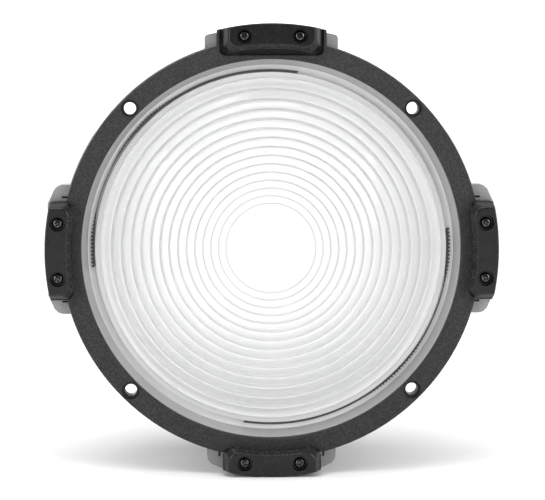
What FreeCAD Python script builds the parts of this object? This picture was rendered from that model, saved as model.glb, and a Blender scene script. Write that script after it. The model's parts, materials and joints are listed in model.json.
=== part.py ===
"""Fresnel spotlight attachment: a 250 mm fresnel lens in a telescoping barrel that locks on a lamp's bayonet.

The shapes are made in an optical frame: +Z forward along the light beam, +X to the viewer's right when the
viewer faces the lens, +Y up, and Z = 0 on the rear seat face. The last step turns every node a quarter turn
about X into the row frame, where +Z is up and the lens faces -Y. Lengths are millimetres.

Four rigid bodies: the rear housing (fixed to the lamp), the zoom ring that turns on it, the lens barrel that the
ring drives forward through three helical cam slots, and the spring latch at the top of the lens barrel.
"""

import FreeCAD
import Part

import math
import os

V = FreeCAD.Vector
ORIGIN = V(0, 0, 0)
X_AXIS = V(1, 0, 0)
Z_AXIS = V(0, 0, 1)

# ---- driving dimensions -------------------------------------------------------------------------------------
# front flange and its black ring
RING_R = 140.5
RING_BORE_R = 127.0
FLANGE_Z0 = 228.0
FLANGE_Z1 = 240.0
RING_FRONT_Z = 247.5
FLANGE_R = 141.2
HOLE_PCD_R = 133.4
HOLE_R = 4.1
COUNTERBORE_R = 5.65
COUNTERBORE_DEPTH = 4.0

# accessory ears, measured along the tangent (t) and outward (n) from the optical axis
EAR_LIP_R = 134.2
EAR_SLOT_R = 140.0
EAR_OUTER_R = 151.0
EAR_HALF_BASE = 32.8
EAR_HALF_FACE = 28.8
EAR_SLOT_GAP = 6.0
EAR_FRONT_Z = 260.0
EAR_SCREW_N = 142.4
EAR_SCREW_T = 18.4
EAR_HEAD_SEAT_Z = 255.0
EAR_HEAD_BORE_R = 4.9

# lens
LENS_R = 125.0
LENS_BACK_Z = 214.5
LENS_RIM_THICK = 5.0
LENS_BODY_R = 118.3
GROOVE_Z = 231.0
CENTRE_ZONE_R = 29.7
ZONE_COUNT = 14
FIRST_ZONE_W = 5.0
ZONE_W_STEP = 0.145
FOCAL_LENGTH = 210.0
GLASS_INDEX = 1.5
ZONE_DRAFT = 0.25

# lens housing (grey casting)
SKIRT_R = 128.8
SKIRT_WALL = 3.0
SKIRT_Z0 = 150.0
LENS_BORE_R = 126.6
SEAT_LIP_Z0 = 210.0
SEAT_LIP_Z1 = 213.2
SEAT_LIP_R = 119.5

# telescoping tubes
SLEEVE_R = 107.5
SLEEVE_WALL = 2.5
SLEEVE_Z0 = 86.0
BARREL_BORE_R = 108.0
BARREL_R = 111.5
BARREL_Z0 = 61.0
BARREL_Z1 = 161.5
ZOOM_BORE_R = 112.0
ZOOM_R = 118.0
ZOOM_Z0 = 66.5
ZOOM_Z1 = 156.0
GRIP_R = 126.3
GRIP_Z0 = 94.0
GRIP_Z1 = 146.0
BAND_R = 125.4

# zoom drive
TRAVEL = 50.0
TURN_DEG = 90.0
PIN_Z = 93.0
PIN_R = 2.5
BUSH_R = 4.0
CAM_CLEARANCE = 0.35
PIN_ANGLES = (30.0, 150.0, 270.0)

# rear housing
COVER_R = 127.0
COVER_WALL = 3.5
COVER_Z1 = 80.0
LEDGE_Z = 60.0
SEAT_R = 78.0
SEAT_STEP_R = 62.0
BAYONET_R = 50.2
BAYONET_BORE_R = 47.5
BAYONET_TAB_R = 58.5
BAYONET_DEPTH = 11.0
LOCK_HOLE_R = 3.2
LOCK_HOLE_PCD_R = 70.0

# top latch
LATCH_TRAVEL = 7.0
POCKET_HALF = 34.4
POCKET_N = 129.8
POCKET_Z = 242.0
CHANNEL_HALF = 26.5
CHANNEL_N = 131.5
CHANNEL_Z1 = 230.0
TOP_LUG_Z0 = 221.0
SPRING_T = 8.0
SPRING_ANCHOR_N = 133.3
SPRING_HOOK_N = 144.6
SPRING_Z = 223.5
SPRING_COIL_R = 1.7
SPRING_WIRE_R = 0.28
SPRING_TURNS = 10

LEFT, RIGHT, BOTTOM, TOP = 180.0, 0.0, 270.0, 90.0


# ---- helpers ------------------------------------------------------------------------------------------------
def tube(r_in, r_out, z0, z1):
    """A plain ring between two radii and two heights."""
    outer = Part.makeCylinder(r_out, z1 - z0, V(0, 0, z0))
    return outer.cut(Part.makeCylinder(r_in, z1 - z0 + 2, V(0, 0, z0 - 1)))


def revolved(points):
    """A solid of revolution about Z from a closed outline of (radius, height) points."""
    wire = Part.makePolygon([V(r, 0, z) for r, z in points + points[:1]])
    return Part.Face(wire).revolve(ORIGIN, Z_AXIS, 360)


def prism(points, z0, z1):
    """A straight prism from a closed outline of (x, y) points."""
    wire = Part.makePolygon([V(x, y, z0) for x, y in points + points[:1]])
    return Part.Face(wire).extrude(V(0, 0, z1 - z0))


def turned(shape, angle):
    """A copy turned about the optical axis."""
    copy = shape.copy()
    copy.rotate(ORIGIN, Z_AXIS, angle)
    return copy


def moved(shape, x, y, z):
    """A copy moved by x, y, z."""
    copy = shape.copy()
    copy.translate(V(x, y, z))
    return copy


def around(shape, angles):
    """One compound of copies of a shape turned to each angle."""
    return Part.makeCompound([turned(shape, a) for a in angles])


def radial(shape, angle, height):
    """A shape built along +Z laid down to point outward at an angle, at a height on the axis."""
    copy = shape.copy()
    copy.rotate(ORIGIN, V(0, 1, 0), 90)
    copy.rotate(ORIGIN, Z_AXIS, angle)
    copy.translate(V(0, 0, height))
    return copy


def stadium(x0, x1, half_width, z0, z1):
    """A round-ended bar along X."""
    bar = Part.makeBox(x1 - x0, 2 * half_width, z1 - z0, V(x0, -half_width, z0))
    for x in (x0, x1):
        bar = bar.fuse(Part.makeCylinder(half_width, z1 - z0, V(x, 0, z0)))
    return bar.removeSplitter()


def pan_screw(head_r, head_h, shank_r, length):
    """A pan-head screw with a cross recess: head above Z = 0, shank below."""
    head = Part.makeCylinder(head_r, head_h)
    rim = [e for e in head.Edges if abs(e.BoundBox.ZMin - head_h) < 1e-6 and e.Length > head_r]
    head = head.makeFillet(head_h * 0.55, rim)
    slot_w = head_r * 0.26
    slot_l = head_r * 1.05
    slot_h = head_h * 0.7
    for a, b in ((slot_l, slot_w), (slot_w, slot_l)):
        head = head.cut(Part.makeBox(a, b, head_h, V(-a / 2, -b / 2, head_h - slot_h)))
    shank = Part.makeCylinder(shank_r, length, V(0, 0, -length))
    return head.fuse(shank).removeSplitter()


def on_lug(shape, angle):
    """Turn a shape drawn with t along X and n along Y to the lug at an angle."""
    return turned(shape, angle - TOP)


def spread(angles, count_each, step):
    """Angles fanned evenly about each centre angle."""
    half = (count_each - 1) / 2
    return [c + (i - half) * step for c in angles for i in range(count_each)]


# ---- lens ---------------------------------------------------------------------------------------------------
def zone_radius(k):
    """Inner radius of zone k; the zones widen slowly outward."""
    return CENTRE_ZONE_R + FIRST_ZONE_W * k + ZONE_W_STEP * k * (k - 1) / 2


def zone_slope(r):
    """Tangent of the facet angle that bends a ray from the focus parallel to the axis."""
    beta = math.atan(r / FOCAL_LENGTH)
    return math.sin(beta) / (GLASS_INDEX - math.cos(beta))


def fresnel_lens():
    rim_z = LENS_BACK_Z + LENS_RIM_THICK
    points = [(0, LENS_BACK_Z), (LENS_R, LENS_BACK_Z), (LENS_R, rim_z), (LENS_BODY_R, rim_z)]
    edges = [zone_radius(k) for k in range(ZONE_COUNT + 1)] + [LENS_BODY_R]
    for k in range(ZONE_COUNT, -1, -1):
        inner, outer = edges[k], edges[k + 1]
        rise = (outer - inner) * zone_slope((inner + outer) / 2)
        points += [(outer, GROOVE_Z), (inner + ZONE_DRAFT, GROOVE_Z + rise)]
    points.append((CENTRE_ZONE_R, GROOVE_Z))
    dome_angle = math.atan(zone_slope(CENTRE_ZONE_R))
    dome_r = CENTRE_ZONE_R / math.sin(dome_angle)
    dome_top = GROOVE_Z + dome_r * (1 - math.cos(dome_angle))
    mid = dome_angle / 2
    dome_mid = V(dome_r * math.sin(mid), 0, dome_top - dome_r * (1 - math.cos(mid)))
    outline = [V(r, 0, z) for r, z in points]
    edges = [Part.LineSegment(a, b).toShape() for a, b in zip(outline, outline[1:])]
    edges.append(Part.Arc(outline[-1], dome_mid, V(0, 0, dome_top)).toShape())
    edges.append(Part.LineSegment(V(0, 0, dome_top), outline[0]).toShape())
    return Part.Face(Part.Wire(edges)).revolve(ORIGIN, Z_AXIS, 360)


def lens_gasket():
    """Silicone U channel that wraps the rim of the lens."""
    rim_z = LENS_BACK_Z + LENS_RIM_THICK
    lip_r = 123.4
    outer_r = 126.4
    return revolved([
        (lip_r, SEAT_LIP_Z1), (outer_r, SEAT_LIP_Z1), (outer_r, rim_z + 1.3), (lip_r, rim_z + 1.3),
        (lip_r, rim_z), (LENS_R, rim_z), (LENS_R, LENS_BACK_Z), (lip_r, LENS_BACK_Z),
    ])


def lens_retainer():
    """Threaded trim ring whose inner cone leads from the black ring to the edge of the glass."""
    z0 = LENS_BACK_Z + LENS_RIM_THICK + 1.3
    step_z = 229.2
    front_r = RING_BORE_R - 0.1
    return revolved([
        (123.2, z0), (LENS_BORE_R - 0.1, z0), (LENS_BORE_R - 0.1, step_z), (127.4, step_z),
        (127.4, FLANGE_Z1), (front_r, FLANGE_Z1),
    ])


def cushion_strip(centre_angle):
    """Serrated strip that steadies the glass against the retainer, a little over a quarter of the way round."""
    z0 = LENS_BACK_Z + LENS_RIM_THICK
    inner, outer, height = 118.7, 120.3, 2.2
    span, tooth_pitch, tooth = 106.0, 1.2, 1.1
    start = centre_angle - span / 2
    strip = Part.makeCylinder(outer, height, V(0, 0, z0), Z_AXIS, span)
    strip = strip.cut(Part.makeCylinder(inner, height + 2, V(0, 0, z0 - 1)))
    strip.rotate(ORIGIN, Z_AXIS, start)
    block = Part.makeBox(tooth + 0.3, tooth * 1.1, height, V(outer - 0.3, -tooth * 0.55, z0))
    count = int(span / tooth_pitch) - 1
    teeth = [turned(block, start + tooth_pitch * (i + 1)) for i in range(count)]
    return strip.multiFuse(teeth).removeSplitter()


def lens_cushion_strips():
    return Part.makeCompound([cushion_strip(a) for a in (134.0, 314.0)])


# ---- lens housing and front ring ------------------------------------------------------------------------------
LUG = [(-43.3, 126), (-43.3, 139.8), (-42.4, 142.6), (-40.2, 145.0), (-30.8, 149.4),
       (30.8, 149.4), (40.2, 145.0), (42.4, 142.6), (43.3, 139.8), (43.3, 126)]
TOP_LUG = [(-44.5, 126), (-44.5, 141.6), (-43.3, 143.2), (-37.8, 144.4), (-20, 147.0), (0, 148.0),
           (20, 147.0), (37.8, 144.4), (43.3, 143.2), (44.5, 141.6), (44.5, 126)]


def through_holes():
    """Cutters for the four see-through holes, with their counterbores at the front."""
    cutters = []
    for a in (45, 135, 225, 315):
        hole = Part.makeCylinder(HOLE_R, 40, V(HOLE_PCD_R, 0, FLANGE_Z0 - 10))
        mouth_z = RING_FRONT_Z - COUNTERBORE_DEPTH
        mouth = Part.makeCylinder(COUNTERBORE_R, 10, V(HOLE_PCD_R, 0, mouth_z))
        cutters.append(turned(hole.fuse(mouth), a))
    return cutters


def latch_channel():
    """Radial channel in the back of the top lug, open outward, with two slots through to the front."""
    channel = Part.makeBox(2 * CHANNEL_HALF, 40, CHANNEL_Z1 - TOP_LUG_Z0 + 1,
                           V(-CHANNEL_HALF, CHANNEL_N, TOP_LUG_Z0 - 1))
    return channel.multiFuse(latch_slots(CHANNEL_Z1 - 1, FLANGE_Z1 + 1))


def latch_slots(z0, z1):
    """Two radial slots that let the bosses of the latch cap move outward."""
    slot = stadium(EAR_SCREW_N - 0.2, EAR_SCREW_N + LATCH_TRAVEL + 0.4, 4.55, z0, z1)
    slot.rotate(ORIGIN, Z_AXIS, 90)
    return [moved(slot, t, 0, 0) for t in (-EAR_SCREW_T, EAR_SCREW_T)]


def relief_slits(angle):
    """Short dark slits in a lug's face just outside each end of the ear."""
    slit = Part.makeBox(1.3, 7.0, 6.0, V(-0.65, 132.9, FLANGE_Z1 - 6.0))
    return [on_lug(moved(slit, t, 0, 0), angle) for t in (-35.0, 35.0)]


def lens_housing():
    bore = SKIRT_R - SKIRT_WALL
    body = revolved([
        (bore, SKIRT_Z0 + 1), (bore + 1, SKIRT_Z0), (SKIRT_R - 1, SKIRT_Z0), (SKIRT_R, SKIRT_Z0 + 1),
        (SKIRT_R, FLANGE_Z0), (FLANGE_R, FLANGE_Z0), (FLANGE_R, FLANGE_Z1), (127.5, FLANGE_Z1),
        (127.5, 229.0), (LENS_BORE_R, 229.0), (LENS_BORE_R, SEAT_LIP_Z1), (SEAT_LIP_R, SEAT_LIP_Z1),
        (SEAT_LIP_R, SEAT_LIP_Z0), (bore, SEAT_LIP_Z0),
    ])
    core = Part.makeCylinder(LENS_BORE_R + 1.2, 60, V(0, 0, 200))
    lugs = [on_lug(prism(LUG, FLANGE_Z0 - 4, FLANGE_Z1), a) for a in (LEFT, RIGHT, BOTTOM)]
    lugs.append(prism(TOP_LUG, TOP_LUG_Z0, FLANGE_Z1))
    gusset = prism([(127.5, -1.6), (134.0, -1.6), (134.0, 1.6), (127.5, 1.6)], 206, FLANGE_Z0)
    gusset = gusset.cut(gusset_slope())
    gussets = [turned(gusset, a) for a in spread((LEFT, RIGHT, BOTTOM), 3, 14.0)]
    body = body.multiFuse([s.cut(core) for s in lugs + gussets])
    body = body.cut(latch_channel())
    body = body.cut(Part.makeCompound(through_holes()))
    for a in (LEFT, RIGHT, BOTTOM):
        body = body.cut(Part.makeCompound(relief_slits(a) + ear_screw_holes(a)))
    for z in (162.0, 168.0, 174.0):
        groove = tube(SKIRT_R - 0.8, SKIRT_R + 5, z, z + 1.6)
        body = body.cut(groove)
    body = body.cut(Part.makeCompound(ring_screw_cutters() + sleeve_screw_cutters()))
    body = body.cut(Part.makeCompound(post_cutters() + cover_screw_cutters()))
    return body.removeSplitter()


def gusset_slope():
    """Cuts a gusset to a slope that runs from the skirt out to the lug."""
    return Part.Face(Part.makePolygon([
        V(128.8, -5, 200), V(140.0, -5, 200), V(140.0, -5, FLANGE_Z0), V(134.0, -5, FLANGE_Z0 - 4),
        V(128.8, -5, 200),
    ])).extrude(V(0, 10, 0))


def ear_screw_holes(angle):
    """Threaded holes in a lug for the two screws of its ear."""
    hole = Part.makeCylinder(2.0, 30, V(0, EAR_SCREW_N, EAR_HEAD_SEAT_Z - 25))
    return [on_lug(moved(hole, t, 0, 0), angle) for t in (-EAR_SCREW_T, EAR_SCREW_T)]


RING_SCREW_ANGLES = [q + a for q in (0, 90, 180, 270) for a in (27.0, 63.0)]


def ring_screw_cutters():
    hole = Part.makeCylinder(2.0, 17, V(133.9, 0, FLANGE_Z0))
    return [turned(hole, a) for a in RING_SCREW_ANGLES]


def front_ring_screws():
    screw = pan_screw(3.6, 2.4, 2.0, 17)
    screw.rotate(ORIGIN, X_AXIS, 180)
    return around(moved(screw, 133.9, 0, FLANGE_Z0), RING_SCREW_ANGLES)


def front_ring():
    """Black cast ring in front of the flange, with ears and a pocket for the latch at the top."""
    edge = 1.2
    body = revolved([
        (RING_BORE_R, FLANGE_Z1), (RING_R, FLANGE_Z1), (RING_R, RING_FRONT_Z - edge),
        (RING_R - edge, RING_FRONT_Z), (RING_BORE_R + 0.8, RING_FRONT_Z), (RING_BORE_R, RING_FRONT_Z - 0.8),
    ])
    ear = prism([(-36.6, 131), (-36.6, 146.6), (-20, 149.4), (0, 150.4), (20, 149.4), (36.6, 146.6),
                 (36.6, 131)], FLANGE_Z1, RING_FRONT_Z)
    body = body.fuse(ear.cut(Part.makeCylinder(RING_BORE_R + 2, 60, V(0, 0, 220))))
    pocket = Part.makeBox(2 * POCKET_HALF, 40, 20, V(-POCKET_HALF, POCKET_N, POCKET_Z))
    corners = [e for e in pocket.Edges
               if abs(e.Length - 20) < 1e-6 and abs(e.BoundBox.YMin - POCKET_N) < 1e-6]
    body = body.cut(pocket.makeFillet(3.0, corners))
    body = body.cut(Part.makeCompound(latch_slots(FLANGE_Z1 - 1, POCKET_Z + 1)))
    body = body.cut(Part.makeCompound(through_holes()))
    for a in (LEFT, RIGHT, BOTTOM):
        body = body.cut(on_lug(ear_foot_space(), a))
    body = body.cut(Part.makeCompound(ring_screw_cutters()))
    return body.removeSplitter()


def ear_foot_space():
    """Where the ring steps back so that the foot of an ear stands beside it."""
    space = tube(EAR_SLOT_R - 0.3, 170, FLANGE_Z1 - 1, RING_FRONT_Z + 1)
    return space.common(Part.makeBox(2 * EAR_HALF_BASE + 0.6, 60, 60,
                                     V(-EAR_HALF_BASE - 0.3, 120, FLANGE_Z1 - 2)))


# ---- accessory ears and top latch --------------------------------------------------------------------------
def ear_block(foot_z):
    """An ear before its screw holes: a foot outside the ring and a lip that overhangs its face."""
    lip_z = RING_FRONT_Z + EAR_SLOT_GAP
    outline = revolved([
        (EAR_LIP_R, lip_z), (EAR_SLOT_R, lip_z), (EAR_SLOT_R, foot_z), (EAR_OUTER_R, foot_z),
        (EAR_OUTER_R, EAR_FRONT_Z - 0.8), (EAR_OUTER_R - 0.8, EAR_FRONT_Z),
        (EAR_LIP_R + 3.2, EAR_FRONT_Z), (EAR_LIP_R, EAR_FRONT_Z - 3.4),
    ])
    slope_z = EAR_FRONT_Z - 6.5
    ends = Part.makePolygon([
        V(-EAR_HALF_BASE, 120, foot_z - 1), V(EAR_HALF_BASE, 120, foot_z - 1),
        V(EAR_HALF_BASE, 120, slope_z), V(EAR_HALF_FACE, 120, EAR_FRONT_Z + 0.01),
        V(-EAR_HALF_FACE, 120, EAR_FRONT_Z + 0.01), V(-EAR_HALF_BASE, 120, slope_z),
        V(-EAR_HALF_BASE, 120, foot_z - 1),
    ])
    block = outline.common(Part.Face(ends).extrude(V(0, 60, 0)))
    corner_n = EAR_LIP_R - 3.8
    corners = Part.makeBox(2 * EAR_HALF_BASE, 60, 60, V(-EAR_HALF_BASE, corner_n, foot_z - 5))
    lip_corners = [e for e in corners.Edges
                   if abs(e.Length - 60) < 1e-6 and abs(e.BoundBox.YMax - corner_n) < 1e-6]
    return block.common(corners.makeFillet(6.5, lip_corners))


def screw_bores():
    """Clearance holes and head counterbores for the two screws of an ear."""
    cutters = []
    for t in (-EAR_SCREW_T, EAR_SCREW_T):
        cutters.append(Part.makeCylinder(2.0, 60, V(t, EAR_SCREW_N, 220)))
        cutters.append(Part.makeCylinder(EAR_HEAD_BORE_R, 20, V(t, EAR_SCREW_N, EAR_HEAD_SEAT_Z)))
    return Part.makeCompound(cutters)


def fixed_ear(angle):
    return on_lug(ear_block(FLANGE_Z1).cut(screw_bores()).removeSplitter(), angle)


def ear_screws(angle):
    screw = pan_screw(3.8, 2.6, 2.0, 25)
    pair = [moved(screw, t, EAR_SCREW_N, EAR_HEAD_SEAT_Z) for t in (-EAR_SCREW_T, EAR_SCREW_T)]
    return on_lug(Part.makeCompound(pair), angle)


LATCH_FOOT_Z = POCKET_Z + 0.3
SLIDE_Z0 = 225.8
SLIDE_Z1 = CHANNEL_Z1 - 0.3
SLIDE_N0 = 135.6
SLIDE_N1 = 147.4


def latch_cap():
    """The movable ear at the top, with two bosses that reach through the flange to its slide."""
    bosses = [Part.makeCylinder(4.2, LATCH_FOOT_Z + 1 - SLIDE_Z1, V(t, EAR_SCREW_N, SLIDE_Z1))
              for t in (-EAR_SCREW_T, EAR_SCREW_T)]
    return ear_block(LATCH_FOOT_Z).multiFuse(bosses).cut(screw_bores()).removeSplitter()


def latch_slide():
    """Steel plate that slides in the channel and carries the cap."""
    plate = Part.makeBox(52, SLIDE_N1 - SLIDE_N0, SLIDE_Z1 - SLIDE_Z0, V(-26, SLIDE_N0, SLIDE_Z0))
    upright = [e for e in plate.Edges if abs(e.Length - (SLIDE_Z1 - SLIDE_Z0)) < 1e-6]
    plate = plate.makeFillet(1.5, upright)
    holes = [Part.makeCylinder(2.0, 20, V(t, EAR_SCREW_N, 220)) for t in (-EAR_SCREW_T, EAR_SCREW_T)]
    holes += [Part.makeCylinder(1.2, 20, V(t, SPRING_HOOK_N, 220)) for t in (-SPRING_T, SPRING_T)]
    return plate.cut(Part.makeCompound(holes))


def latch_screws():
    length = EAR_HEAD_SEAT_Z - SLIDE_Z0
    screw = pan_screw(3.8, 2.6, 2.0, length)
    return Part.makeCompound([moved(screw, t, EAR_SCREW_N, EAR_HEAD_SEAT_Z)
                              for t in (-EAR_SCREW_T, EAR_SCREW_T)])


def spring_post(n, z0, z1):
    return [Part.makeCylinder(1.2, z1 - z0, V(t, n, z0)) for t in (-SPRING_T, SPRING_T)]


def latch_slide_posts():
    return Part.makeCompound(spring_post(SPRING_HOOK_N, SPRING_Z - 1.6, SLIDE_Z1))


def latch_anchor_posts():
    return Part.makeCompound(spring_post(SPRING_ANCHOR_N, SPRING_Z - 1.6, CHANNEL_Z1 + 4))


def post_cutters():
    return spring_post(SPRING_ANCHOR_N, CHANNEL_Z1 - 1, CHANNEL_Z1 + 4)


def latch_springs():
    """Two tension springs, each a coil with an eye round the post at each end."""
    eye_r = 1.2 + SPRING_WIRE_R
    gap = 0.4
    coil_n0 = SPRING_ANCHOR_N + eye_r + gap
    coil_n1 = SPRING_HOOK_N - eye_r - gap
    helix = Part.makeHelix((coil_n1 - coil_n0) / SPRING_TURNS, coil_n1 - coil_n0, SPRING_COIL_R)
    section = Part.Wire(Part.makeCircle(SPRING_WIRE_R, V(SPRING_COIL_R, 0, 0), V(0, 1, 0)))
    coil = Part.Wire(helix).makePipeShell([section], True, True)
    coil.rotate(ORIGIN, X_AXIS, -90)
    coil.translate(V(0, coil_n0, 0))
    ends = [Part.makeTorus(eye_r, SPRING_WIRE_R, V(0, n, 0)) for n in (SPRING_ANCHOR_N, SPRING_HOOK_N)]
    for n, start in ((coil_n0, coil_n0 - gap), (coil_n1, coil_n1)):
        ends.append(Part.makeCylinder(SPRING_WIRE_R, SPRING_COIL_R, V(0, n, 0), X_AXIS))
        ends.append(Part.makeCylinder(SPRING_WIRE_R, gap, V(0, start, 0), V(0, 1, 0)))
    spring = coil.multiFuse(ends)
    return Part.makeCompound([moved(spring, t, 0, SPRING_Z) for t in (-SPRING_T, SPRING_T)])


def latch_cover():
    """Plate screwed over the back of the channel."""
    plate = prism([(-37, 131.8), (-37, 141.8), (-33, 144.2), (33, 144.2), (37, 141.8), (37, 131.8)],
                  TOP_LUG_Z0 - 2, TOP_LUG_Z0)
    return plate.cut(Part.makeCompound([moved(Part.makeCylinder(1.5, 8), t, n, TOP_LUG_Z0 - 4)
                                        for t, n in COVER_SCREWS]))


COVER_SCREWS = [(t, n) for t in (-31.5, 31.5) for n in (134.8, 141.2)]


def cover_screw_cutters():
    return [Part.makeCylinder(1.5, 8, V(t, n, TOP_LUG_Z0)) for t, n in COVER_SCREWS]


def latch_cover_screws():
    screw = pan_screw(2.7, 1.8, 1.5, 9)
    screw.rotate(ORIGIN, X_AXIS, 180)
    return Part.makeCompound([moved(screw, t, n, TOP_LUG_Z0 - 2) for t, n in COVER_SCREWS])


# ---- sleeve and cam pins -----------------------------------------------------------------------------------
SLEEVE_SCREW_ANGLES = [a for a in range(0, 360, 60)]
SLEEVE_FLANGE_Z = 207.0


def sleeve_screw_cutters():
    return [turned(Part.makeCylinder(1.5, 2.6, V(122.6, 0, SEAT_LIP_Z0)), a) for a in SLEEVE_SCREW_ANGLES]


def inner_sleeve():
    """Tube that carries the lens housing inside the fixed barrel."""
    bore = SLEEVE_R - SLEEVE_WALL
    body = revolved([
        (bore, SLEEVE_Z0), (SLEEVE_R, SLEEVE_Z0), (SLEEVE_R, 99.0), (SLEEVE_R - 0.8, 99.0),
        (SLEEVE_R - 0.8, 107.0), (SLEEVE_R, 107.0), (SLEEVE_R, SLEEVE_FLANGE_Z), (125.3, SLEEVE_FLANGE_Z),
        (125.3, SEAT_LIP_Z0), (bore, SEAT_LIP_Z0),
    ])
    holes = [radial(Part.makeCylinder(PIN_R, 30, V(0, 0, 95)), a, PIN_Z) for a in PIN_ANGLES]
    holes += [turned(Part.makeCylinder(1.5, 10, V(122.6, 0, 202)), a) for a in SLEEVE_SCREW_ANGLES]
    return body.cut(Part.makeCompound(holes))


def sleeve_screws():
    screw = pan_screw(2.6, 1.8, 1.5, 5.5)
    screw.rotate(ORIGIN, X_AXIS, 180)
    return around(moved(screw, 122.6, 0, SLEEVE_FLANGE_Z), SLEEVE_SCREW_ANGLES)


def sleeve_liner():
    return tube(SLEEVE_R - SLEEVE_WALL - 0.8, SLEEVE_R - SLEEVE_WALL, SLEEVE_Z0, SEAT_LIP_Z0)


def rear_glide_ring():
    return tube(SLEEVE_R - 0.8, SLEEVE_R + 0.3, 99.0, 107.0)


def cam_pins():
    inner = SLEEVE_R - SLEEVE_WALL
    pin = Part.makeCylinder(PIN_R, 117.4 - inner, V(0, 0, inner))
    return Part.makeCompound([radial(pin, a, PIN_Z) for a in PIN_ANGLES])


def cam_bushes():
    bush = Part.makeCylinder(BUSH_R, 9.4, V(0, 0, SLEEVE_R + 0.2))
    bush = bush.cut(Part.makeCylinder(PIN_R, 40, V(0, 0, 95)))
    return Part.makeCompound([radial(bush, a, PIN_Z) for a in PIN_ANGLES])


# ---- zoom ring -----------------------------------------------------------------------------------------------
def cam_slot():
    """Cutter for one helical slot, in the ring's rest place, for the pin at angle 0.

    The pin leaves the rest end as the ring turns by +TURN_DEG, so in the ring the slot runs the other way round.
    """
    half = BUSH_R + CAM_CLEARANCE
    mean_r = (ZOOM_BORE_R + ZOOM_R) / 2
    climb = TRAVEL / (math.radians(TURN_DEG) * mean_r)
    half_z = half * math.sqrt(1 + climb * climb)
    end_angle = math.degrees((half + 0.2) / ZOOM_BORE_R)
    pitch = TRAVEL * 360 / TURN_DEG
    end_climb = pitch * end_angle / 360
    helix = Part.makeHelix(pitch, TRAVEL + 2 * end_climb, mean_r, 0, True)
    r0, r1 = ZOOM_BORE_R - 2, ZOOM_R + 2
    section = Part.makePolygon([V(r0, 0, -half_z), V(r1, 0, -half_z), V(r1, 0, half_z), V(r0, 0, half_z),
                                V(r0, 0, -half_z)])
    slot = turned(Part.Wire(helix).makePipeShell([section], True, True), end_angle)
    return moved(slot, 0, 0, PIN_Z - end_climb)


def zoom_ring():
    body = revolved([
        (ZOOM_BORE_R, ZOOM_Z0 + 0.5), (ZOOM_BORE_R + 0.5, ZOOM_Z0), (ZOOM_R - 0.5, ZOOM_Z0),
        (ZOOM_R, ZOOM_Z0 + 0.5), (ZOOM_R, ZOOM_Z1 - 0.5), (ZOOM_R - 0.5, ZOOM_Z1),
        (ZOOM_BORE_R + 0.5, ZOOM_Z1), (ZOOM_BORE_R, ZOOM_Z1 - 0.5),
    ])
    slot = cam_slot()
    for a in PIN_ANGLES:
        body = body.cut(turned(slot, a))
    return body


def zoom_grip():
    """Rubber sleeve with rounded grooves along the axis and a plain bead at each end."""
    body = revolved([
        (ZOOM_R, GRIP_Z0), (GRIP_R - 1.5, GRIP_Z0), (GRIP_R, GRIP_Z0 + 1.5), (GRIP_R, GRIP_Z1 - 1.5),
        (GRIP_R - 1.5, GRIP_Z1), (ZOOM_R, GRIP_Z1),
    ])
    count = 72
    groove = Part.makeCylinder(2.1, GRIP_Z1 - GRIP_Z0 - 12, V(GRIP_R + 0.6, 0, GRIP_Z0 + 6))
    return body.cut(around(groove, [i * 360 / count for i in range(count)]))


def scale_band():
    return revolved([
        (ZOOM_R, COVER_Z1 + 1), (BAND_R, COVER_Z1 + 1), (BAND_R, GRIP_Z0 - 1.2), (BAND_R - 0.7, GRIP_Z0),
        (ZOOM_R, GRIP_Z0),
    ])


def zoom_retainer():
    ring = tube(BARREL_R, 117.4, ZOOM_Z1 + 1.5, BARREL_Z1)
    return ring.cut(Part.makeCompound([radial(Part.makeCylinder(1.5, 30, V(0, 0, 100)), a, 159.5)
                                       for a in RETAINER_SCREW_ANGLES]))


RETAINER_SCREW_ANGLES = (90.0, 210.0, 330.0)


def zoom_retainer_screws():
    screw = Part.makeCylinder(1.5, 5.6, V(0, 0, BARREL_R))
    socket = Part.makeCylinder(0.8, 2, V(0, 0, BARREL_R + 3.8))
    return Part.makeCompound([radial(screw.cut(socket), a, 159.5) for a in RETAINER_SCREW_ANGLES])


def rear_thrust_washer():
    return tube(ZOOM_BORE_R, 120.5, BARREL_Z0 + 3.5, ZOOM_Z0)


def front_thrust_washer():
    return tube(ZOOM_BORE_R, 117.4, ZOOM_Z1, ZOOM_Z1 + 1.5)


# ---- rear housing ----------------------------------------------------------------------------------------------
BARREL_SCREW_ANGLES = [a for a in range(15, 360, 60)]
BARREL_SCREW_R = 117.6


def fixed_barrel():
    """Tube with a rear flange, three straight slots for the cam pins and a front glide groove."""
    body = revolved([
        (BARREL_BORE_R, BARREL_Z0), (122.5, BARREL_Z0), (122.5, BARREL_Z0 + 3.5), (BARREL_R, BARREL_Z0 + 3.5),
        (BARREL_R, BARREL_Z1), (BARREL_BORE_R, BARREL_Z1), (BARREL_BORE_R, 161.0),
        (BARREL_BORE_R + 0.8, 161.0), (BARREL_BORE_R + 0.8, 158.0), (BARREL_BORE_R, 158.0),
    ])
    half = BUSH_R + CAM_CLEARANCE
    slot = stadium(PIN_Z - 0.4, PIN_Z + TRAVEL + 0.4, half, 100, 118)
    slot.rotate(ORIGIN, V(0, 1, 0), -90)
    slot = slot.mirror(ORIGIN, X_AXIS)
    slots = [turned(slot, a) for a in PIN_ANGLES]
    screws = [turned(Part.makeCylinder(1.5, 10, V(BARREL_SCREW_R, 0, BARREL_Z0 - 3)), a)
              for a in BARREL_SCREW_ANGLES]
    return body.cut(Part.makeCompound(slots)).cut(Part.makeCompound(screws))


def front_glide_ring():
    return tube(BARREL_BORE_R - 0.3, BARREL_BORE_R + 0.8, 158.0, 161.0)


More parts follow.
